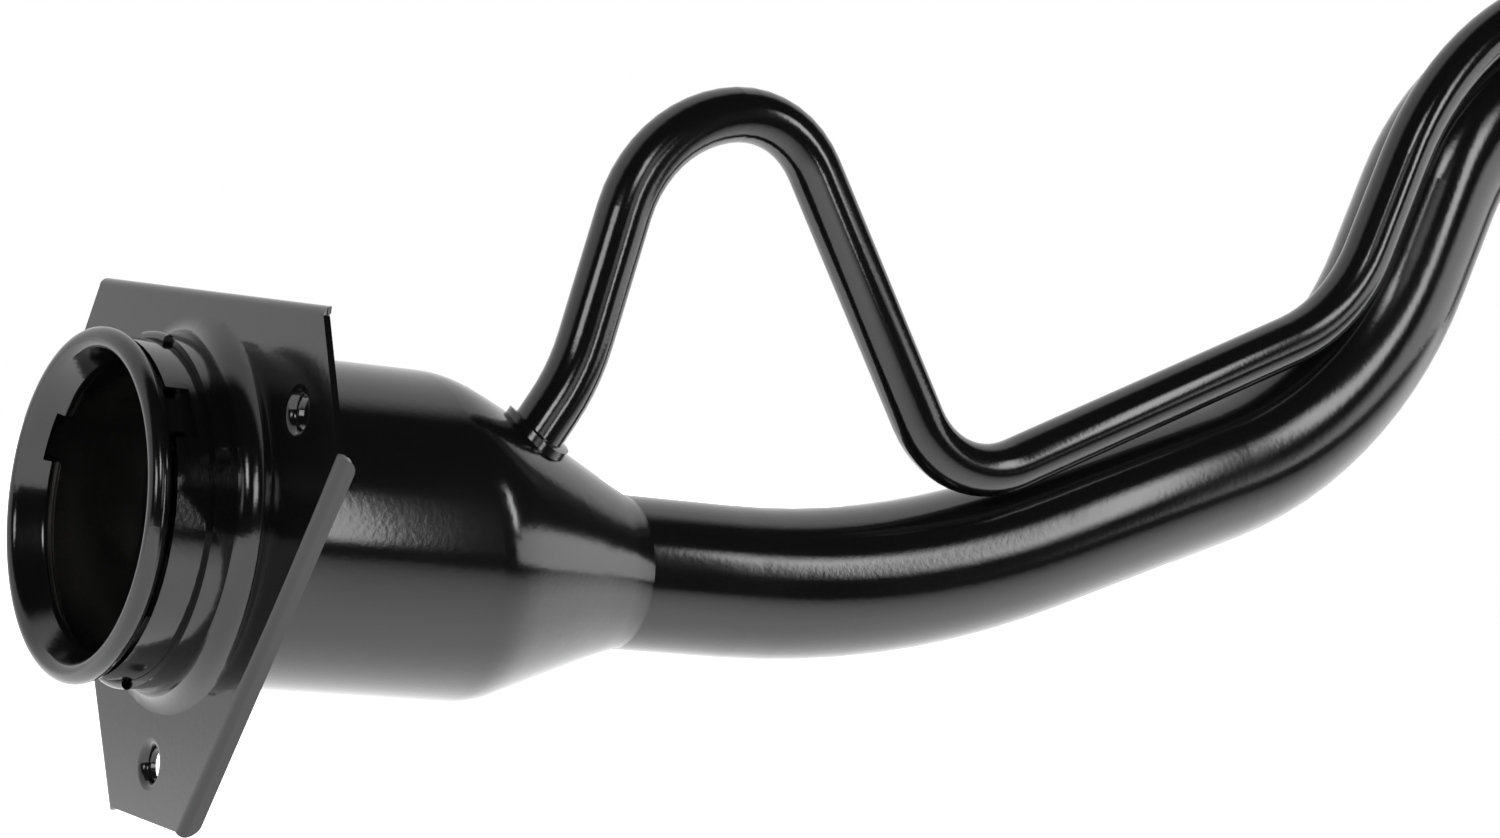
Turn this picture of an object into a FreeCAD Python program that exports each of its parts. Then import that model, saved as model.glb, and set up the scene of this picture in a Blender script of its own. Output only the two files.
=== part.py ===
import FreeCAD, Part
import os
from math import atan, cos, degrees, pi, radians, sin, sqrt, tan

os.makedirs("parts", exist_ok=True)
V = FreeCAD.Vector
X_AXIS = V(1, 0, 0)
Y_AXIS = V(0, 1, 0)
Z_AXIS = V(0, 0, 1)

# Fuel filler neck, sizes in millimetres.
# The origin is on the neck's axis at the mounting plate's front face.
# +X runs inward along the neck, +Z up the plate, and the open mouth faces -X.

# Shared fits
braze_gap = 0.05
running_gap = 0.05

# Neck and filler pipe
head_radius = 28.75
head_wall = 1.2
head_front_x = -14.2
tube_radius = 14.0
tube_wall = 1.2
tube_drop = 3.35

# Swage from the head down to the tube; its sections lean back at the top, most where it starts
swage_start_x = 47.3
swage_lean = 0.2
swage_end_lean = 0.02
shoulder_radius = 20.0
swage_angle = 23.0
heel_radius = 3.0

# Filler tube bends, in the vertical plane
lead_end_x = 109.6
bend_1_radius = 186.3
bend_1_angle = 21.9
run_1 = 45.15
bend_2_radius = 72.0
bend_2_angle = 49.9
run_2 = 17.6
bend_3_radius = 45.0
run_3 = 60.0

# Hose beads
bead_height = 1.5
bead_from_end = 6.0

# Vent tube
vent_radius = 5.0
vent_wall = 0.9
vent_side = 9.6
vent_root_x = 60.65
vent_root_z = 18.8
vent_root_angle = 59.3
vent_root_run = 7.0
vent_kink_radius = 40.4
vent_kink_angle = 19.4
vent_rise = 23.7
vent_crown_radius = 25.4
vent_crown_angle = 69.3
vent_turn_radius = 18.3
vent_turn_angle = 64.7
vent_fall = 52.1
vent_foot_radius = 18.7
vent_lay_angle = 25.5
vent_join_radius = 34.0
vent_joggle_radius = 30.0
vent_joggle_angle = 22.0
vent_end_run = 35.0
seat_gap = 0.15

# Mounting plate
plate_thickness = 1.2
collar_front_x = -7.95
collar_fillet = 4.0
plate_top_z = 38.0
plate_top_half = 44.0
plate_wide_z = 15.0
plate_wide_half = 54.8
plate_bottom_z = -52.1
plate_bottom_half = 13.1
side_flange_bend = 1.6
side_flange_depth = 3.4
side_flange_corner = 2.8
top_flange_bend = 1.6
top_flange_depth = 1.9
top_flange_corner = 1.4
upper_hole_half = 39.1
upper_hole_z = 20.5
lower_hole_z = -42.7
screw_hole_radius = 2.8
screw_hole_fillet = 0.5
screw_hole_depth = 2.6

# Inlet with its rolled lip
lip_x = -17.1
roll_ring_radius = 28.1
roll_radius = 1.9
inlet_wall = 0.9
funnel_slope = 26.0
funnel_run = 4.2
nose_radius = 1.3
nose_back_slope = 70.0
skirt_corner = 1.0
skirt_end_x = 6.0
cap_notch_from = 13.0
cap_notch_to = 34.0
cap_notch_radius = 26.15
cap_notch_front = 1.9
cap_notch_length = 6.0

# Key that stops the inlet turning in the pipe
pipe_notch_angle = 38.9
pipe_notch_width = 9.9
pipe_notch_depth = 4.1
key_angle = 37.3
key_width = 6.3
key_end_x = -12.4

# Nozzle restrictor and its flap
restrictor_front_x = 8.0
restrictor_face_x = 14.0
restrictor_wall = 0.9
nozzle_hole_radius = 11.8
nozzle_hole_z = -3.0
nozzle_lip = 2.2
flap_radius = 13.4
flap_thickness = 0.9
flap_gap = 0.12
pin_radius = 1.25
pin_z = 13.2
ear_wall = 0.9
flap_ear_y = 5.6
frame_ear_y = 7.0
ear_radius = 2.3
pin_head = 0.8
spring_wire = 0.7
spring_turns = 6
spring_leg = 8.5

# Brazed seams
root_braze = 1.5
seam_braze = 3.0
seam_braze_length = 9.0
seam_braze_share = 0.55
collar_braze = 1.0
collar_braze_angle = 18.0


def ring(x0, x1, outer, inner):
    body = Part.makeCylinder(outer, x1 - x0, V(x0, 0, 0), X_AXIS)
    hole = Part.makeCylinder(inner, x1 - x0 + 2, V(x0 - 1, 0, 0), X_AXIS)
    return body.cut(hole)


def heading(angle):
    a = radians(angle)
    return V(cos(a), 0, sin(a))


def left_of(angle):
    a = radians(angle)
    return V(-sin(a), 0, cos(a))


# A route is a chain of straight runs and tangent bends in one vertical plane.
def route(start, angle, steps):
    edges = []
    point = start
    for kind, a, b in steps:
        if kind == "run":
            end = point + heading(angle) * a
            edges.append(Part.LineSegment(point, end).toShape())
        else:
            side = 1 if b > 0 else -1
            centre = point + left_of(angle) * (side * a)
            mid = centre - left_of(angle + b / 2) * (side * a)
            end = centre - left_of(angle + b) * (side * a)
            edges.append(Part.Arc(point, mid, end).toShape())
            angle = angle + b
        point = end
    return edges, point, angle


def swept(edges, radius, start, angle):
    section = Part.Wire(Part.makeCircle(radius, start, heading(angle)))
    return Part.Wire(edges).makePipeShell([section], True, True)


def bead(centre, direction, radius):
    rise = bead_height
    body = Part.makeCylinder(radius + rise, rise * 1.4, centre - direction * (rise * 0.7), direction)
    return body.makeFillet(rise * 0.68, [e for e in body.Edges if isinstance(e.Curve, Part.Circle)])


# Rings of the swage: distance along it and radius, shoulder, cone and heel.
def swage_rings():
    a = radians(swage_angle)
    drop = head_radius - tube_radius
    bends = (shoulder_radius + heel_radius) * (1 - cos(a))
    cone = (drop - bends) / sin(a)
    rings = []
    for k in range(5):
        t = a * k / 4
        rings.append((shoulder_radius * sin(t), head_radius - shoulder_radius * (1 - cos(t))))
    x, r = rings[-1]
    rings.append((x + cone * cos(a) / 2, r - cone * sin(a) / 2))
    x = x + cone * cos(a)
    r = r - cone * sin(a)
    for k in range(4):
        t = a * k / 3
        rings.append((x + heel_radius * (sin(a) - sin(a - t)), r - heel_radius * (cos(a - t) - cos(a))))
    return rings


swage = swage_rings()
swage_length = swage[-1][0]


# Everything beyond a leaning section plane, or before it
def leaning_block(x, z, lean, beyond):
    block = Part.makeBox(400, 200, 200, V(0 if beyond else -400, -100, -100))
    block.rotate(V(0, 0, 0), Y_AXIS, -degrees(atan(lean)))
    block.translate(V(x, 0, z))
    return block


def swage_body(inset):
    wires = []
    for x, r in swage:
        share = (head_radius - r) / (head_radius - tube_radius)
        half = r - inset
        lean = swage_lean + (swage_end_lean - swage_lean) * x / swage_length
        oval = Part.Ellipse(V(0, 0, 0), half * sqrt(1 + lean**2), half).toShape()
        oval.rotate(V(0, 0, 0), Y_AXIS, 90 - degrees(atan(lean)))
        oval.translate(V(swage_start_x + x, 0, -tube_drop * share))
        wires.append(Part.Wire(oval))
    return Part.makeLoft(wires, True)


swage_end_x = swage_start_x + swage_length
tube_start = V(swage_end_x - 8, 0, -tube_drop)
bend_3_angle = -(bend_1_angle + bend_2_angle)
tube_steps = [
    ("run", lead_end_x - tube_start.x, 0),
    ("bend", bend_1_radius, bend_1_angle),
    ("run", run_1, 0),
    ("bend", bend_2_radius, bend_2_angle),
    ("run", run_2, 0),
    ("bend", bend_3_radius, bend_3_angle),
    ("run", run_3, 0),
]
tube_edges, tube_end, tube_end_angle = route(tube_start, 0, tube_steps)


def pipe_body(head_inset, tube_inset, extra):
    front = V(head_front_x - extra, 0, 0)
    head = Part.makeCylinder(head_radius - head_inset, swage_start_x + 30 - front.x, front, X_AXIS)
    head = head.cut(leaning_block(swage_start_x, 0, swage_lean, True))
    tube = swept(tube_edges, tube_radius - tube_inset, tube_start, 0)
    tube = tube.cut(leaning_block(swage_end_x, -tube_drop, swage_end_lean, False))
    if extra:
        more = Part.makeCylinder(tube_radius - tube_inset, extra, tube_end, heading(tube_end_angle))
        tube = tube.fuse(more)
    return head.fuse(swage_body(head_inset)).fuse(tube)


pipe_outer = pipe_body(0, 0, 0)
pipe_inner = pipe_body(head_wall, tube_wall, 2)

# The vent tube's last stretch runs beside the filler tube's bend at the same centre.
seat_distance = tube_radius + vent_radius + seat_gap
vent_offset = sqrt(seat_distance**2 - vent_side**2)
rise_edges, rise_point, rise_angle = route(tube_start, 0, tube_steps[:4])
join_line_point = V(rise_point.x, -vent_side, rise_point.z) + left_of(rise_angle) * vent_offset

vent_start = V(vent_root_x, -vent_side, vent_root_z)
vent_fall_angle = vent_root_angle + vent_kink_angle - vent_crown_angle - vent_turn_angle
vent_steps = [
    ("run", vent_root_run, 0),
    ("bend", vent_kink_radius, vent_kink_angle),
    ("run", vent_rise, 0),
    ("bend", vent_crown_radius, -vent_crown_angle),
    ("bend", vent_turn_radius, -vent_turn_angle),
    ("run", vent_fall, 0),
    ("bend", vent_foot_radius, vent_lay_angle - vent_fall_angle),
]
vent_edges, vent_foot, lay = route(vent_start, vent_root_angle, vent_steps)

# The straight that lies along the filler tube meets the rising line through one bend.
join_turn = rise_angle - lay
across = (join_line_point - vent_foot).dot(left_of(rise_angle))
reach = across / heading(lay).dot(left_of(rise_angle))
tangent = vent_join_radius * tan(radians(join_turn) / 2)
corner = vent_foot + heading(lay) * reach
crown_start = rise_point + heading(rise_angle) * run_2
rise_left = (crown_start - corner).dot(heading(rise_angle)) - tangent
more_edges, vent_end, vent_end_angle = route(
    vent_foot,
    lay,
    [
        ("run", reach - tangent, 0),
        ("bend", vent_join_radius, join_turn),
        ("run", rise_left, 0),
        ("bend", bend_3_radius + vent_offset, bend_3_angle),
        ("bend", vent_joggle_radius, vent_joggle_angle),
        ("bend", vent_joggle_radius, -vent_joggle_angle),
        ("run", vent_end_run, 0),
    ],
)
vent_edges = vent_edges + more_edges
vent_outer = swept(vent_edges, vent_radius, vent_start, vent_root_angle)
vent_inner = swept(vent_edges, vent_radius - vent_wall, vent_start, vent_root_angle)


# Filler pipe: head, swage and bent tube in one piece
tube_end_way = heading(tube_end_angle)
tube_bead = bead(tube_end - tube_end_way * bead_from_end, tube_end_way, tube_radius)
filler_pipe = pipe_outer.fuse(tube_bead)
filler_pipe = filler_pipe.cut(pipe_inner)
vent_bore = swept(vent_edges[:3], vent_radius + braze_gap, vent_start, vent_root_angle)
filler_pipe = filler_pipe.cut(vent_bore)
notch_corner = V(head_front_x - 5, -pipe_notch_width / 2, head_radius - 4)
notch = Part.makeBox(pipe_notch_depth + 5, pipe_notch_width, 8, notch_corner)
notch.rotate(V(0, 0, 0), X_AXIS, 90 - pipe_notch_angle)
filler_pipe = filler_pipe.cut(notch)

# Vent tube
vent_end_way = heading(vent_end_angle)
vent_bead = bead(vent_end - vent_end_way * bead_from_end, vent_end_way, vent_radius)
vent_tube = vent_outer.fuse(vent_bead)
vent_tube = vent_tube.cut(vent_inner)


# The same route shifted sideways: left bends tighten and right bends open.
def side_route(start, angle, steps, shift):
    moved = []
    for kind, a, b in steps:
        if kind == "bend":
            a = a - shift if b > 0 else a + shift
        moved.append((kind, a, b))
    return route(start + left_of(angle) * shift, angle, moved)


# A sheet section in (x, radius), thickened both ways and revolved about the neck's axis
def sheet_ring(start, angle, steps, wall):
    first, end, _ = side_route(start, angle, steps, wall / 2)
    other, far, _ = side_route(start, angle, steps, -wall / 2)
    near_cap = Part.LineSegment(first[0].Vertexes[0].Point, other[0].Vertexes[0].Point).toShape()
    far_cap = Part.LineSegment(end, far).toShape()
    wire = Part.Wire(Part.__sortEdges__(first + other + [near_cap, far_cap]))
    return Part.Face(wire).revolve(V(0, 0, 0), X_AXIS, 360)


# Inlet: curl, funnel, inward nose that the cap's cams hook behind, and skirt in the pipe
curl_mid = roll_radius - inlet_wall / 2
curl_from = -35.0
curl_to = 270.0 - funnel_slope
curl_start = V(lip_x, 0, roll_ring_radius) + heading(curl_from) * curl_mid
skirt_mid = head_radius - head_wall - braze_gap - inlet_wall / 2
mouth_steps = [
    ("bend", curl_mid, curl_to - curl_from),
    ("run", funnel_run, 0),
    ("bend", nose_radius, funnel_slope + nose_back_slope),
]
_, funnel_end, _ = route(curl_start, curl_from + 90, mouth_steps)
back = radians(nose_back_slope)
web_run = (skirt_mid - skirt_corner * (1 - cos(back)) - funnel_end.z) / sin(back)
skirt_run = skirt_end_x - (funnel_end.x + web_run * cos(back) + skirt_corner * sin(back))
skirt_steps = [
    ("run", web_run, 0),
    ("bend", skirt_corner, -nose_back_slope),
    ("run", skirt_run, 0),
]
inlet_insert = sheet_ring(curl_start, curl_from + 90, mouth_steps + skirt_steps, inlet_wall)


# A wedge of a ring, opened between two angles measured up from +Y
def ring_wedge(x0, x1, outer, inner, from_angle, to_angle):
    corners = [V(x0, inner, 0), V(x1, inner, 0), V(x1, outer, 0), V(x0, outer, 0)]
    face = Part.Face(Part.makePolygon(corners + corners[:1]))
    face.rotate(V(0, 0, 0), X_AXIS, from_angle)
    return face.revolve(V(0, 0, 0), X_AXIS, to_angle - from_angle)


notch_x = lip_x + cap_notch_front
floor_end_x = funnel_end.x + skirt_corner
floor_radius = cap_notch_radius + inlet_wall
for turn in (0, 180):
    low = cap_notch_from + turn
    high = cap_notch_to + turn
    wedge = ring_wedge(notch_x, notch_x + cap_notch_length, cap_notch_radius, 15, low, high)
    floor = ring_wedge(notch_x - 0.3, floor_end_x, floor_radius, cap_notch_radius, low - 2, high + 2)
    inlet_insert = inlet_insert.cut(wedge).fuse(floor)
key_corner = V(lip_x + curl_mid, -key_width / 2, roll_ring_radius - inlet_wall / 2)
key = Part.makeBox(key_end_x - key_corner.x, key_width, inlet_wall, key_corner)
key.rotate(V(0, 0, 0), X_AXIS, 90 - key_angle)
inlet_insert = inlet_insert.fuse(key)


# Mounting plate
slant_y = plate_wide_half - plate_bottom_half
slant_z = plate_wide_z - plate_bottom_z
slant = sqrt(slant_y**2 + slant_z**2)
top_edge_z = plate_top_z - top_flange_bend
outline = [
    V(0, plate_top_half, top_edge_z),
    V(0, plate_wide_half, plate_wide_z),
    V(0, plate_bottom_half, plate_bottom_z),
    V(0, -plate_bottom_half, plate_bottom_z),
    V(0, -plate_wide_half, plate_wide_z),
    V(0, -plate_top_half, top_edge_z),
]
blank = Part.Face(Part.makePolygon(outline + outline[:1])).extrude(X_AXIS * plate_thickness)


def line(a, b):
    return Part.LineSegment(a, b).toShape()


def arc(a, b, c):
    return Part.Arc(a, b, c).toShape()


# A flange turned back along one edge of the plate, with its bend
def turned_flange(start, along, outward, bend, depth, corner):
    inner = bend - plate_thickness
    step = along * (1 / along.Length)
    low = start - outward
    high = low + along
    far = X_AXIS * depth
    near = X_AXIS * (depth - corner)
    bulge = corner * (1 - sin(pi / 4))
    round_in = far - X_AXIS * bulge + step * bulge
    round_out = far - X_AXIS * bulge - step * bulge
    trim = [
        line(low - X_AXIS, low + near),
        arc(low + near, low + round_in, low + far + step * corner),
        line(low + far + step * corner, high + far - step * corner),
        arc(high + far - step * corner, high + round_out, high + near),
        line(high + near, high - X_AXIS),
        line(high - X_AXIS, low - X_AXIS),
    ]
    trim = Part.Face(Part.Wire(trim)).extrude(outward * (bend + 3))
    outer_mid = outward * (bend * sin(pi / 4)) + X_AXIS * (bend * (1 - cos(pi / 4)))
    inner_mid = outward * (inner * sin(pi / 4)) + X_AXIS * (bend - inner * cos(pi / 4))
    outer_bend = start + outward * bend + X_AXIS * bend
    outer_edge = start + outward * bend + far
    inner_edge = start + outward * inner + far
    inner_bend = start + outward * inner + X_AXIS * bend
    back = start + X_AXIS * plate_thickness
    section = [
        arc(start, start + outer_mid, outer_bend),
        line(outer_bend, outer_edge),
        line(outer_edge, inner_edge),
        line(inner_edge, inner_bend),
        arc(inner_bend, start + inner_mid, back),
        line(back, start),
    ]
    return Part.Face(Part.Wire(section)).extrude(along).common(trim)


for side in (1, -1):
    down = V(0, -slant_y * side, -slant_z) * (1 / slant)
    outward = V(0, slant_z * side, -slant_y) * (1 / slant)
    top = V(0, plate_wide_half * side, plate_wide_z)
    flange = turned_flange(
        top, down * slant, outward, side_flange_bend, side_flange_depth, side_flange_corner
    )
    blank = blank.fuse(flange)
across_top = V(0, -2 * plate_top_half, 0)
flange = turned_flange(
    outline[0], across_top, Z_AXIS, top_flange_bend, top_flange_depth, top_flange_corner
)
blank = blank.fuse(flange).removeSplitter()


# A ring drawn out of the sheet toward -X: its bore, the fillet it rises from and its tip
def drawn_ring(bore, fillet, tip_x):
    outer = bore + plate_thickness
    bend = fillet + plate_thickness
    base = V(0, 0, outer + fillet)
    tip_in = V(tip_x, 0, bore)
    tip_out = V(tip_x, 0, outer)
    rise_out = V(-fillet, 0, outer)
    rise_in = V(-fillet, 0, bore)
    base_back = base + X_AXIS * plate_thickness
    outer_mid = base + V(fillet * (sin(pi / 4) - 1), 0, -fillet * cos(pi / 4))
    inner_mid = base + V(bend * sin(pi / 4) - fillet, 0, -bend * cos(pi / 4))
    section = [
        line(tip_in, tip_out),
        line(tip_out, rise_out),
        arc(rise_out, outer_mid, base),
        line(base, base_back),
        arc(base_back, inner_mid, rise_in),
        line(rise_in, tip_in),
    ]
    return Part.Face(Part.Wire(section)).revolve(V(0, 0, 0), X_AXIS, 360)


# Drawn collar that the pipe's head passes through
collar_bore = head_radius + braze_gap
flare = drawn_ring(collar_bore, collar_fillet, collar_front_x)
opening = Part.makeCylinder(collar_bore + plate_thickness + collar_fillet, 10, V(-5, 0, 0), X_AXIS)
mounting_plate = blank.cut(opening).fuse(flare)

# Screw holes, drawn back out of the plate
screw_flare = drawn_ring(screw_hole_radius, screw_hole_fillet, plate_thickness - screw_hole_depth)
screw_flare = screw_flare.mirror(V(plate_thickness / 2, 0, 0), X_AXIS)
rim_radius = screw_hole_radius + plate_thickness + screw_hole_fillet
for y, z in ((upper_hole_half, upper_hole_z), (-upper_hole_half, upper_hole_z), (0, lower_hole_z)):
    place = V(0, y, z)
    opening = Part.makeCylinder(rim_radius, 10, place - X_AXIS * 5, X_AXIS)
    rim = screw_flare.copy()
    rim.translate(place)
    mounting_plate = mounting_plate.cut(opening).fuse(rim)

# The hinge pin stands off the flap so that the spring's lower leg lies along the flap's back.
back_x = restrictor_face_x + restrictor_wall
flap_x = back_x + flap_gap
coil_radius = pin_radius + 0.25 + spring_wire / 2
pin_x = flap_x + flap_thickness + braze_gap + spring_wire / 2 + coil_radius

# Nozzle restrictor: a pressed dish brazed in the head, with a hole for the nozzle and two ears for the pin
dish_radius = head_radius - head_wall - braze_gap
dish_rim = ring(restrictor_front_x, back_x, dish_radius, dish_radius - restrictor_wall)
dish_face = Part.makeCylinder(dish_radius, restrictor_wall, V(restrictor_face_x, 0, 0), X_AXIS)
hole = Part.makeCylinder(nozzle_hole_radius, 20, V(restrictor_face_x - 10, 0, nozzle_hole_z), X_AXIS)
lip_place = V(restrictor_face_x - nozzle_lip, 0, nozzle_hole_z)
lip_tube = Part.makeCylinder(nozzle_hole_radius + restrictor_wall, nozzle_lip, lip_place, X_AXIS)
nozzle_restrictor = dish_rim.fuse(dish_face).fuse(lip_tube).cut(hole)
for side in (1, -1):
    y0 = frame_ear_y if side > 0 else -frame_ear_y - ear_wall
    ear = Part.makeBox(pin_x - back_x, ear_wall, 2 * ear_radius, V(back_x, y0, pin_z - ear_radius))
    ear = ear.fuse(Part.makeCylinder(ear_radius, ear_wall, V(pin_x, y0, pin_z), Y_AXIS))
    ear = ear.cut(Part.makeCylinder(pin_radius, 3, V(pin_x, y0 - 1, pin_z), Y_AXIS))
    nozzle_restrictor = nozzle_restrictor.fuse(ear)

# Flap that closes the nozzle hole from behind
flap = Part.makeCylinder(flap_radius, flap_thickness, V(flap_x, 0, nozzle_hole_z), X_AXIS)
tongue_half = flap_ear_y + ear_wall
tongue_height = pin_z - ear_radius - nozzle_hole_z + 1.2
tongue_corner = V(flap_x, -tongue_half, nozzle_hole_z)
tongue = Part.makeBox(flap_thickness, 2 * tongue_half, tongue_height, tongue_corner)
flap = flap.fuse(tongue)
for side in (1, -1):
    y0 = flap_ear_y if side > 0 else -flap_ear_y - ear_wall
    ear = Part.makeBox(pin_x - flap_x, ear_wall, ear_radius + 4.5, V(flap_x, y0, pin_z - ear_radius - 2.2))
    ear = ear.common(Part.makeCylinder(ear_radius + 4.4, ear_wall, V(pin_x, y0, pin_z), Y_AXIS))
    ear = ear.fuse(Part.makeCylinder(ear_radius, ear_wall, V(pin_x, y0, pin_z), Y_AXIS))
    ear = ear.cut(Part.makeCylinder(pin_radius + running_gap, 3, V(pin_x, y0 - 1, pin_z), Y_AXIS))
    above = Part.makeBox(6, 3, 6, V(flap_x - 1, y0 - 1, pin_z))
    above = above.cut(Part.makeCylinder(ear_radius, 5, V(pin_x, y0 - 2, pin_z), Y_AXIS))
    flap = flap.fuse(ear.cut(above))
restrictor_flap = flap.removeSplitter()

# Hinge pin, headed at both ends
pin_half = frame_ear_y + ear_wall + 0.1
flap_pin = Part.makeCylinder(pin_radius, 2 * pin_half, V(pin_x, -pin_half, pin_z), Y_AXIS)
for y in (-pin_half - pin_head, pin_half):
    flap_pin = flap_pin.fuse(Part.makeCylinder(pin_radius + 0.6, pin_head, V(pin_x, y, pin_z), Y_AXIS))

# Torsion spring on the pin, one leg up the restrictor's back and one down the flap
stand_off = pin_x - coil_radius - spring_wire / 2 - braze_gap - back_x
leg_lean = degrees(atan(stand_off / spring_leg))
pitch = spring_wire + 0.12
coil_length = pitch * (spring_turns - leg_lean / 360)
coil_line = Part.makeHelix(pitch, coil_length, coil_radius).mirror(V(0, 0, 0), Y_AXIS)
coil_line.rotate(V(0, 0, 0), X_AXIS, -90)
coil_line.rotate(V(0, 0, 0), Y_AXIS, 180 - leg_lean)
coil_line.translate(V(pin_x, -coil_length / 2, pin_z))
coil_edge = coil_line.Edges[0]
marks = (coil_edge.FirstParameter, coil_edge.LastParameter)
ends = [(coil_edge.valueAt(u), coil_edge.tangentAt(u)) for u in marks]
ends.sort(key=lambda end: end[0].y)
coil_start, coil_end = ends
if coil_start[1].y < 0:
    coil_start = (coil_start[0], coil_start[1] * -1)
    coil_end = (coil_end[0], coil_end[1] * -1)
section = Part.Wire(Part.makeCircle(spring_wire / 2, coil_start[0], coil_start[1]))
coil = Part.Wire(coil_line.Edges).makePipeShell([section], True, True)
leg_up = Part.makeCylinder(spring_wire / 2, spring_leg, coil_start[0], coil_start[1] * -1)
leg_down = Part.makeCylinder(spring_wire / 2, spring_leg, coil_end[0], coil_end[1])
flap_spring = coil.fuse(leg_up).fuse(leg_down)

# Braze round the vent tube's root
root_way = heading(vent_root_angle)
root_sleeve = Part.makeCylinder(vent_radius + root_braze, 24, vent_start - root_way * 2, root_way)
vent_root_braze = root_sleeve.common(swage_body(-root_braze)).cut(pipe_outer).cut(vent_outer)

# Braze in the valley between the two tubes, on the rising straight and part way round the last bend
valley = tube_radius / seat_distance


def valley_braze(on_tube, angle):
    middle = on_tube + left_of(angle) * (vent_offset * valley) - Y_AXIS * (vent_side * valley)
    bar_start = middle - heading(angle) * (seam_braze_length / 2)
    bar = Part.makeCylinder(seam_braze, seam_braze_length, bar_start, heading(angle))
    return bar.makeFillet(seam_braze * 0.9, [e for e in bar.Edges if isinstance(e.Curve, Part.Circle)])


bend_3_centre = crown_start - left_of(rise_angle) * bend_3_radius
last_angle = rise_angle + bend_3_angle * seam_braze_share
first_bar = valley_braze(rise_point + heading(rise_angle) * (run_2 / 2), rise_angle)
second_bar = valley_braze(bend_3_centre + left_of(last_angle) * bend_3_radius, last_angle)
tube_braze = Part.makeCompound([bar.cut(pipe_outer).cut(vent_outer) for bar in (first_bar, second_bar)])

# Braze at the collar's front edge, above and below the pipe
seam_place = V(collar_front_x, 0, head_radius + collar_braze / 2)
seam_section = Part.Face(Part.Wire(Part.makeCircle(collar_braze, seam_place, Y_AXIS)))
seams = []
for turn in (0, 180):
    section = seam_section.copy()
    section.rotate(V(0, 0, 0), X_AXIS, turn - collar_braze_angle / 2)
    seam = section.revolve(V(0, 0, 0), X_AXIS, collar_braze_angle)
    seam = seam.cut(Part.makeCylinder(head_radius, 20, V(collar_front_x - 10, 0, 0), X_AXIS)).cut(flare)
    seams.append(seam)
plate_braze = Part.makeCompound(seams)

parts = {
    "filler_pipe": filler_pipe,
    "vent_tube": vent_tube,
    "inlet_insert": inlet_insert,
    "mounting_plate": mounting_plate,
    "nozzle_restrictor": nozzle_restrictor,
    "restrictor_flap": restrictor_flap,
    "flap_pin": flap_pin,
    "flap_spring": flap_spring,
    "vent_root_braze": vent_root_braze,
    "tube_braze": tube_braze,
    "plate_braze": plate_braze,
}
for name, shape in parts.items():
    shape.exportStep("parts/" + name + ".step")
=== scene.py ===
import math

import bpy
from bpy.props import FloatProperty, FloatVectorProperty, PointerProperty
from mathutils import Matrix, Vector


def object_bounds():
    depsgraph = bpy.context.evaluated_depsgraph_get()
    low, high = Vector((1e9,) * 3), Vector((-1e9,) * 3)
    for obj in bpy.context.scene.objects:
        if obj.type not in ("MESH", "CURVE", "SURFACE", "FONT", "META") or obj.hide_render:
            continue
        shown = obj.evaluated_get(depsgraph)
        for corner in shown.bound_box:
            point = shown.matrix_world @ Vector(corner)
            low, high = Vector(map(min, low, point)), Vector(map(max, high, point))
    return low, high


bl_info = {
    "name": "Fuel filler neck",
    "version": (1, 0, 0),
    "blender": (4, 5, 0),
    "location": "View3D > Sidebar > Filler Neck",
    "description": "Finishes and lights a coated steel fuel filler neck",
    "category": "Object",
}

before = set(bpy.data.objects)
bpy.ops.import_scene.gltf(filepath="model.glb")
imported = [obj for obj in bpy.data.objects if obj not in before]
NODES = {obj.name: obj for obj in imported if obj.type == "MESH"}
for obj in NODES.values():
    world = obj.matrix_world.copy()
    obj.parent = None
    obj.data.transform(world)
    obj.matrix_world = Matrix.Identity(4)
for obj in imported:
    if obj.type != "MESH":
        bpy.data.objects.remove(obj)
CAD_LOW, CAD_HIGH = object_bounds()


# Sizes and colours
class CoatSettings(bpy.types.PropertyGroup):
    colour: FloatVectorProperty(
        name="Coat colour",
        description="Colour of the black coating",
        subtype="COLOR",
        size=3,
        default=(0.006, 0.006, 0.0065),
        min=0.0,
        max=1.0,
    )
    roughness: FloatProperty(
        name="Coat roughness",
        description="How soft the reflections in the coating are",
        subtype="FACTOR",
        default=0.12,
        min=0.0,
        max=1.0,
    )
    peel: FloatProperty(
        name="Coat ripple",
        description="Depth of the coating's fine ripple",
        subtype="FACTOR",
        default=0.05,
        min=0.0,
        max=1.0,
    )


class SteelSettings(bpy.types.PropertyGroup):
    colour: FloatVectorProperty(
        name="Plating colour",
        description="Colour of the plated restrictor, flap and pin",
        subtype="COLOR",
        size=3,
        default=(0.42, 0.41, 0.38),
        min=0.0,
        max=1.0,
    )
    spring_colour: FloatVectorProperty(
        name="Spring colour",
        description="Colour of the spring wire",
        subtype="COLOR",
        size=3,
        default=(0.22, 0.22, 0.23),
        min=0.0,
        max=1.0,
    )


class StageSettings(bpy.types.PropertyGroup):
    lens: FloatProperty(
        name="Lens",
        description="Focal length of the camera",
        subtype="DISTANCE_CAMERA",
        default=100.0,
        min=10.0,
        max=500.0,
    )
    floor_drop: FloatProperty(
        name="Floor height",
        description="Distance from the object's lowest point down to the floor",
        subtype="DISTANCE",
        default=0.022,
        min=0.0,
        max=1.0,
    )
    floor_glow: FloatProperty(
        name="Floor light",
        description="Extra brightness of the lit paper floor",
        default=1.5,
        min=0.0,
        max=10.0,
    )
    backdrop: FloatProperty(
        name="Backdrop light",
        description="Brightness of the white backdrop",
        default=1.25,
        min=0.0,
        max=10.0,
    )
    key: FloatProperty(
        name="Softboxes",
        description="Brightness of all the softboxes",
        default=1.0,
        min=0.0,
        max=10.0,
    )


WHITE = (1.0, 1.0, 1.0, 1.0)


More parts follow.
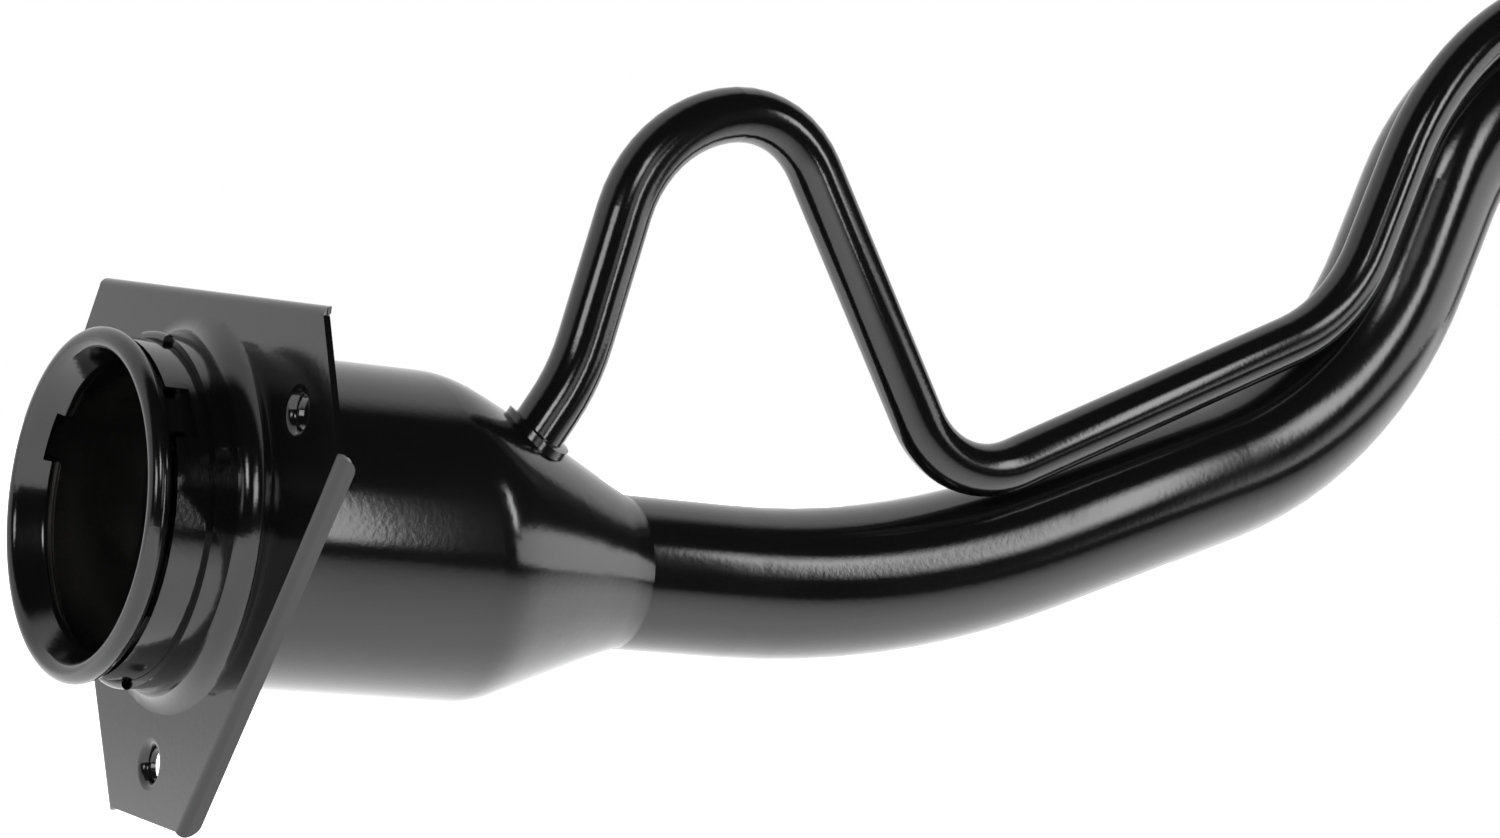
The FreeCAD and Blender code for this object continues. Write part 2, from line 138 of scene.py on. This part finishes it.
# Node helpers
def new_material(name, shader_type="ShaderNodeBsdfPrincipled"):
    material = bpy.data.materials.new(name)
    material.use_nodes = True
    tree = material.node_tree
    tree.nodes.clear()
    output = tree.nodes.new("ShaderNodeOutputMaterial")
    shader = tree.nodes.new(shader_type)
    tree.links.new(shader.outputs[0], output.inputs["Surface"])
    return material, tree, shader


def math_node(tree, operation, *values):
    node = tree.nodes.new("ShaderNodeMath")
    node.operation = operation
    for socket, value in zip(node.inputs, values):
        if isinstance(value, float):
            socket.default_value = value
        else:
            tree.links.new(value, socket)
    return node.outputs[0]


def coordinates(tree, kind):
    place = tree.nodes.new("ShaderNodeTexCoord")
    split = tree.nodes.new("ShaderNodeSeparateXYZ")
    tree.links.new(place.outputs[kind], split.inputs["Vector"])
    return split.outputs


def object_noise(tree, scale, detail):
    place = tree.nodes.new("ShaderNodeTexCoord")
    noise = tree.nodes.new("ShaderNodeTexNoise")
    noise.inputs["Scale"].default_value = scale
    noise.inputs["Detail"].default_value = detail
    tree.links.new(place.outputs["Object"], noise.inputs["Vector"])
    return noise.outputs["Fac"]


def spread(tree, value, low, high, new_low=0.0, new_high=1.0, smooth=False):
    ramp = tree.nodes.new("ShaderNodeMapRange")
    if smooth:
        ramp.interpolation_type = "SMOOTHSTEP"
    ramp.inputs["From Min"].default_value = low
    ramp.inputs["From Max"].default_value = high
    ramp.inputs["To Min"].default_value = new_low
    ramp.inputs["To Max"].default_value = new_high
    tree.links.new(value, ramp.inputs["Value"])
    return ramp.outputs["Result"]


# Finishes
COAT_IOR = 1.52
COAT_CLOUD_SCALE = 38.0
RIPPLE_SCALE = 900.0
RIPPLE_HEIGHT = 0.0003
STEEL_CLOUD_SCALE = 120.0


def coat_material(name, grain=1.0):
    coat = bpy.context.scene.neck_coat
    material, tree, shader = new_material(name)
    shader.inputs["Base Color"].default_value = (*coat.colour, 1.0)
    shader.inputs["IOR"].default_value = COAT_IOR
    cloud = object_noise(tree, COAT_CLOUD_SCALE * grain, 4.0)
    smoothest, roughest = coat.roughness * 0.85, coat.roughness * 1.25
    rough = spread(tree, cloud, 0.35, 0.7, smoothest, roughest)
    tree.links.new(rough, shader.inputs["Roughness"])
    ripple = object_noise(tree, RIPPLE_SCALE * grain, 3.0)
    bump = tree.nodes.new("ShaderNodeBump")
    bump.inputs["Strength"].default_value = coat.peel
    bump.inputs["Distance"].default_value = RIPPLE_HEIGHT
    tree.links.new(ripple, bump.inputs["Height"])
    tree.links.new(bump.outputs["Normal"], shader.inputs["Normal"])
    return material


def steel_material(name, colour, roughness):
    material, tree, shader = new_material(name)
    shader.inputs["Metallic"].default_value = 1.0
    shader.inputs["Base Color"].default_value = (*colour, 1.0)
    cloud = object_noise(tree, STEEL_CLOUD_SCALE, 4.0)
    rough = spread(tree, cloud, 0.3, 0.7, roughness * 0.8, roughness * 1.3)
    tree.links.new(rough, shader.inputs["Roughness"])
    return material


def dress(name, material):
    mesh = NODES[name].data
    mesh.materials.clear()
    mesh.materials.append(material)


# Pieces
class NECK_OT_pipe(bpy.types.Operator):
    """Coat the filler pipe and its brazed seams"""

    bl_idname = "filler_neck.pipe"
    bl_label = "Filler pipe"

    def execute(self, context):
        dress("filler_pipe", coat_material("pipe_coat"))
        seam = coat_material("seam_coat", 3.0)
        for name in ("vent_root_braze", "tube_braze", "plate_braze"):
            dress(name, seam)
        return {"FINISHED"}


class NECK_OT_vent(bpy.types.Operator):
    """Coat the vent tube"""

    bl_idname = "filler_neck.vent"
    bl_label = "Vent tube"

    def execute(self, context):
        dress("vent_tube", coat_material("vent_coat", 1.3))
        return {"FINISHED"}


class NECK_OT_inlet(bpy.types.Operator):
    """Coat the inlet with its rolled lip"""

    bl_idname = "filler_neck.inlet"
    bl_label = "Inlet"

    def execute(self, context):
        dress("inlet_insert", coat_material("inlet_coat", 1.1))
        return {"FINISHED"}


class NECK_OT_plate(bpy.types.Operator):
    """Coat the mounting plate"""

    bl_idname = "filler_neck.plate"
    bl_label = "Mounting plate"

    def execute(self, context):
        dress("mounting_plate", coat_material("plate_coat", 0.9))
        return {"FINISHED"}


class NECK_OT_restrictor(bpy.types.Operator):
    """Plate the nozzle restrictor, its flap, pin and spring"""

    bl_idname = "filler_neck.restrictor"
    bl_label = "Nozzle restrictor"

    def execute(self, context):
        steel = context.scene.neck_steel
        plated = steel_material("plated_steel", steel.colour, 0.35)
        for name in ("nozzle_restrictor", "restrictor_flap", "flap_pin"):
            dress(name, plated)
        dress("flap_spring", steel_material("spring_wire", steel.spring_colour, 0.3))
        return {"FINISHED"}


# Directions and flat sheets
def direction(azimuth, elevation):
    azimuth, elevation = math.radians(azimuth), math.radians(elevation)
    level = math.cos(elevation)
    return Vector((level * math.cos(azimuth), level * math.sin(azimuth), math.sin(elevation)))


def turn_of(across, up, back):
    return Matrix((across, up, back)).transposed()


def flat_sheet(name, corners, material):
    mesh = bpy.data.meshes.new(name)
    mesh.from_pydata(corners, [], [(0, 1, 2, 3)])
    mesh.materials.append(material)
    sheet = bpy.data.objects.new(name, mesh)
    bpy.context.scene.collection.objects.link(sheet)
    return sheet


# Camera, where the outlines of the photo put it
CAMERA_AT = Vector((-0.30364, -0.64136, 0.03891))
CAMERA_AZIMUTH = -122.92
CAMERA_ELEVATION = 0.91
CAMERA_ROLL = math.radians(7.07)
SENSOR_WIDTH = 36.0
CLIP_START = 0.01
CLIP_END = 50.0


def place_camera(lens):
    back = direction(CAMERA_AZIMUTH, CAMERA_ELEVATION)
    side = Vector((0.0, 0.0, 1.0)).cross(back).normalized()
    up = back.cross(side)
    right = math.cos(CAMERA_ROLL) * side + math.sin(CAMERA_ROLL) * up
    top = -math.sin(CAMERA_ROLL) * side + math.cos(CAMERA_ROLL) * up
    data = bpy.data.cameras.new("camera")
    data.lens = lens
    data.sensor_width = SENSOR_WIDTH
    data.clip_start = CLIP_START
    data.clip_end = CLIP_END
    camera = bpy.data.objects.new("camera", data)
    camera.matrix_world = Matrix.Translation(CAMERA_AT) @ turn_of(right, top, back).to_4x4()
    bpy.context.scene.collection.objects.link(camera)
    bpy.context.scene.camera = camera


# Softboxes by where they are seen from:
# the point, azimuth, elevation, distance, width, height, soft edge, brightness
LIGHTS = {
    "head_strip": ((0.004, -0.028, 0.004), -62.0, 10.0, 0.30, 0.042, 0.19, 0.15, 7.0),
    "tube_strip": ((0.1825, -0.014, 0.020), -60.0, 26.0, 0.30, 0.070, 0.21, 0.35, 8.0),
    "near_panel": ((0.03, -0.02, 0.03), -86.0, 18.0, 0.60, 0.22, 0.35, 0.3, 1.5),
    "front_softbox": ((0.03, -0.02, 0.04), -110.0, 29.0, 2.5, 0.75, 1.0, 0.4, 9.0),
    "left_softbox": ((-0.018, 0.0, 0.0), -150.0, 16.0, 2.5, 1.2, 0.8, 0.3, 6.5),
    "right_softbox": ((0.10, 0.0, 0.04), -24.0, 3.0, 1.2, 1.25, 0.48, 0.2, 2.6),
}


def softbox(name, strength):
    point, azimuth, elevation, distance, width, height, edge, brightness = LIGHTS[name]
    material, tree, glow = new_material(name, "ShaderNodeEmission")
    place = coordinates(tree, "Generated")
    middle = 0.5
    fades = []
    for axis in ("X", "Y"):
        away = math_node(tree, "ABSOLUTE", math_node(tree, "SUBTRACT", place[axis], middle))
        fades.append(spread(tree, away, middle, middle - edge, smooth=True))
    power = math_node(tree, "MULTIPLY", math_node(tree, "MULTIPLY", *fades), brightness * strength)
    tree.links.new(power, glow.inputs["Strength"])
    x, y = width / 2, height / 2
    box = flat_sheet(name, [(-x, -y, 0), (x, -y, 0), (x, y, 0), (-x, y, 0)], material)
    back = direction(azimuth, elevation)
    across = Vector((0.0, 0.0, 1.0)).cross(back).normalized()
    box.rotation_mode = "QUATERNION"
    box.rotation_quaternion = turn_of(across, back.cross(across), back).to_quaternion()
    box.location = Vector(point) + back * distance
    box.visible_camera = False
    box.visible_shadow = False


# Backdrop, white to the camera and darker towards the front in reflections
BACKDROP_FADE = (0.0, 0.3)
BACKDROP_FRONT = 0.02


def backdrop_world(strength):
    world = bpy.data.worlds.new("studio")
    world.use_nodes = True
    tree = world.node_tree
    tree.nodes.clear()
    output = tree.nodes.new("ShaderNodeOutputWorld")
    depth = coordinates(tree, "Generated")["Y"]
    shade = spread(tree, depth, *BACKDROP_FADE, BACKDROP_FRONT, 1.0, smooth=True)
    room = tree.nodes.new("ShaderNodeBackground")
    tree.links.new(math_node(tree, "MULTIPLY", shade, strength), room.inputs["Strength"])
    white = tree.nodes.new("ShaderNodeBackground")
    white.inputs["Color"].default_value = WHITE
    rays = tree.nodes.new("ShaderNodeLightPath")
    mix = tree.nodes.new("ShaderNodeMixShader")
    tree.links.new(rays.outputs["Is Camera Ray"], mix.inputs["Fac"])
    tree.links.new(room.outputs["Background"], mix.inputs[1])
    tree.links.new(white.outputs["Background"], mix.inputs[2])
    tree.links.new(mix.outputs["Shader"], output.inputs["Surface"])
    bpy.context.scene.world = world


# Paper floor and its extent; in reflections its colour and glow carry painted shade, darker at the front
# right and towards the back
FLOOR_X = (-1.2, 1.6)
FLOOR_Y = (-0.6, 2.2)
PAPER_ROUGHNESS = 0.8
FRONT_FADE = (-0.30, -0.06)
LEFT_FADE = (0.15, 0.05)
BACK_FADE = (0.03, 0.35)
BACK_SHADE = 0.55


def paper_material(glow):
    material, tree, shader = new_material("floor_paper")
    shader.inputs["Roughness"].default_value = PAPER_ROUGHNESS
    shader.inputs["Emission Color"].default_value = WHITE
    place = coordinates(tree, "Object")
    # Painted shade seen only in reflections: the paper is darkened at the front right and towards the
    # back, while the camera sees it evenly white
    near = spread(tree, place["Y"], *FRONT_FADE)
    left = spread(tree, place["X"], *LEFT_FADE)
    far = spread(tree, place["Y"], *BACK_FADE, 1.0, BACK_SHADE)
    lit = math_node(tree, "MULTIPLY", math_node(tree, "MAXIMUM", near, left), far)
    rays = tree.nodes.new("ShaderNodeLightPath").outputs
    shade = math_node(tree, "MAXIMUM", rays["Is Camera Ray"], lit)
    paper = tree.nodes.new("ShaderNodeCombineColor")
    for channel in ("Red", "Green", "Blue"):
        tree.links.new(shade, paper.inputs[channel])
    tree.links.new(paper.outputs["Color"], shader.inputs["Base Color"])
    seen = math_node(tree, "MAXIMUM", rays["Is Camera Ray"], rays["Is Glossy Ray"])
    lamp = math_node(tree, "MULTIPLY", seen, shade)
    tree.links.new(math_node(tree, "MULTIPLY", lamp, glow), shader.inputs["Emission Strength"])
    return material


def paper_floor(level, glow):
    (left, right), (front, back) = FLOOR_X, FLOOR_Y
    corners = [(left, front, level), (right, front, level), (right, back, level), (left, back, level)]
    floor = flat_sheet("floor", corners, paper_material(glow))


class NECK_OT_stage(bpy.types.Operator):
    """Place the floor, the studio lights and the camera"""

    bl_idname = "filler_neck.stage"
    bl_label = "Stage"

    def execute(self, context):
        settings = context.scene.neck_stage
        paper_floor(CAD_LOW.z - settings.floor_drop, settings.floor_glow)
        backdrop_world(settings.backdrop)
        for name in LIGHTS:
            softbox(name, settings.key)
        place_camera(settings.lens)
        context.scene.view_settings.view_transform = "Standard"
        context.scene.view_settings.look = "None"
        return {"FINISHED"}


class NECK_PT_panel(bpy.types.Panel):
    bl_idname = "NECK_PT_panel"
    bl_label = "Filler neck"
    bl_space_type = "VIEW_3D"
    bl_region_type = "UI"
    bl_category = "Filler Neck"

    def draw(self, context):
        layout = self.layout
        scene = context.scene
        for group, names in (
            (scene.neck_coat, ("colour", "roughness", "peel")),
            (scene.neck_steel, ("colour", "spring_colour")),
            (scene.neck_stage, ("lens", "floor_drop", "floor_glow", "backdrop", "key")),
        ):
            box = layout.box()
            for name in names:
                box.prop(group, name)
        for operator in OPERATORS:
            layout.operator(operator.bl_idname)


OPERATORS = (NECK_OT_pipe, NECK_OT_vent, NECK_OT_inlet, NECK_OT_plate, NECK_OT_restrictor, NECK_OT_stage)
CLASSES = (CoatSettings, SteelSettings, StageSettings, *OPERATORS, NECK_PT_panel)


def register():
    for cls in CLASSES:
        bpy.utils.register_class(cls)
    bpy.types.Scene.neck_coat = PointerProperty(type=CoatSettings)
    bpy.types.Scene.neck_steel = PointerProperty(type=SteelSettings)
    bpy.types.Scene.neck_stage = PointerProperty(type=StageSettings)


def unregister():
    del bpy.types.Scene.neck_stage
    del bpy.types.Scene.neck_steel
    del bpy.types.Scene.neck_coat
    for cls in reversed(CLASSES):
        bpy.utils.unregister_class(cls)


def main():
    register()
    bpy.ops.filler_neck.pipe()
    bpy.ops.filler_neck.vent()
    bpy.ops.filler_neck.inlet()
    bpy.ops.filler_neck.plate()
    bpy.ops.filler_neck.restrictor()
    bpy.ops.filler_neck.stage()


if __name__ == "__main__":
    main()
